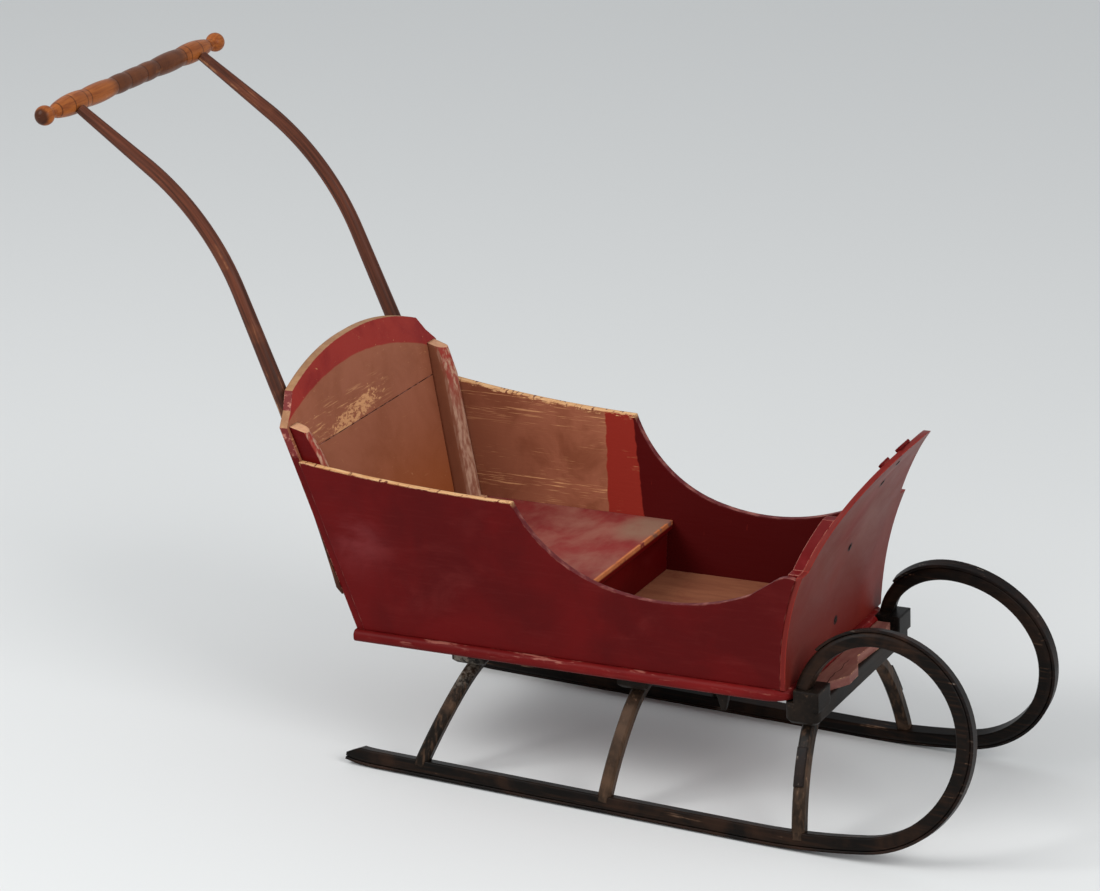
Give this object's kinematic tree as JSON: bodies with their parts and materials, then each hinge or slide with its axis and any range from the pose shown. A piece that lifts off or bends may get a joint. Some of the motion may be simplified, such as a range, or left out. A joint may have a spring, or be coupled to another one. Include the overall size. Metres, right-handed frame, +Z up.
{
  "type": "child's push sled",
  "caption": "Old wooden child's push sled: open box body with seat on bent bows and looped runners, pushed by a turned bar on two bent shafts.",
  "frame": {"origin": "on the floor, midway along and across the whole sled", "axes": "+X forwards towards the curled runner fronts, +Y to the sled's left, +Z up"},
  "size_m": [1.2608, 0.454, 0.8416],
  "materials": {
    "bar_wood": "orange-brown varnish",
    "body_paint": "aged dark red paint",
    "inside_tan": "worn tan paint",
    "nosing_paint": "brighter red paint, worn",
    "runner_wood": "worn dark stain",
    "seat_paint": "worn red paint",
    "shaft_wood": "reddish brown varnish",
    "sole_iron": "dull, rusted",
    "stay_iron": "black iron",
    "toe_wood": "bare, faded paint"
  },
  "bodies": {
    "root": {"back_board_lower": "inside_tan", "back_board_upper": "inside_tan", "back_cleat_left": "inside_tan", "back_cleat_right": "inside_tan", "bolster_front": "runner_wood", "bolster_mid": "runner_wood", "bolster_rear": "runner_wood", "bow_front": "runner_wood", "bow_mid": "runner_wood", "bow_rear": "runner_wood", "dash_cleat_left": "body_paint", "dash_cleat_right": "body_paint", "dash_panel": "body_paint", "floor_board": "nosing_paint", "handle_bar": "bar_wood", "handle_shaft_left": "shaft_wood", "handle_shaft_right": "shaft_wood", "runner_left": "runner_wood", "runner_right": "runner_wood", "seat_board": "seat_paint", "seat_riser": "body_paint", "side_left": "body_paint", "side_right": "body_paint", "sole_strap_left": "sole_iron", "sole_strap_right": "sole_iron", "stay_left": "stay_iron", "stay_right": "stay_iron", "toe_board": "toe_wood"}
  },
  "joints": []
}
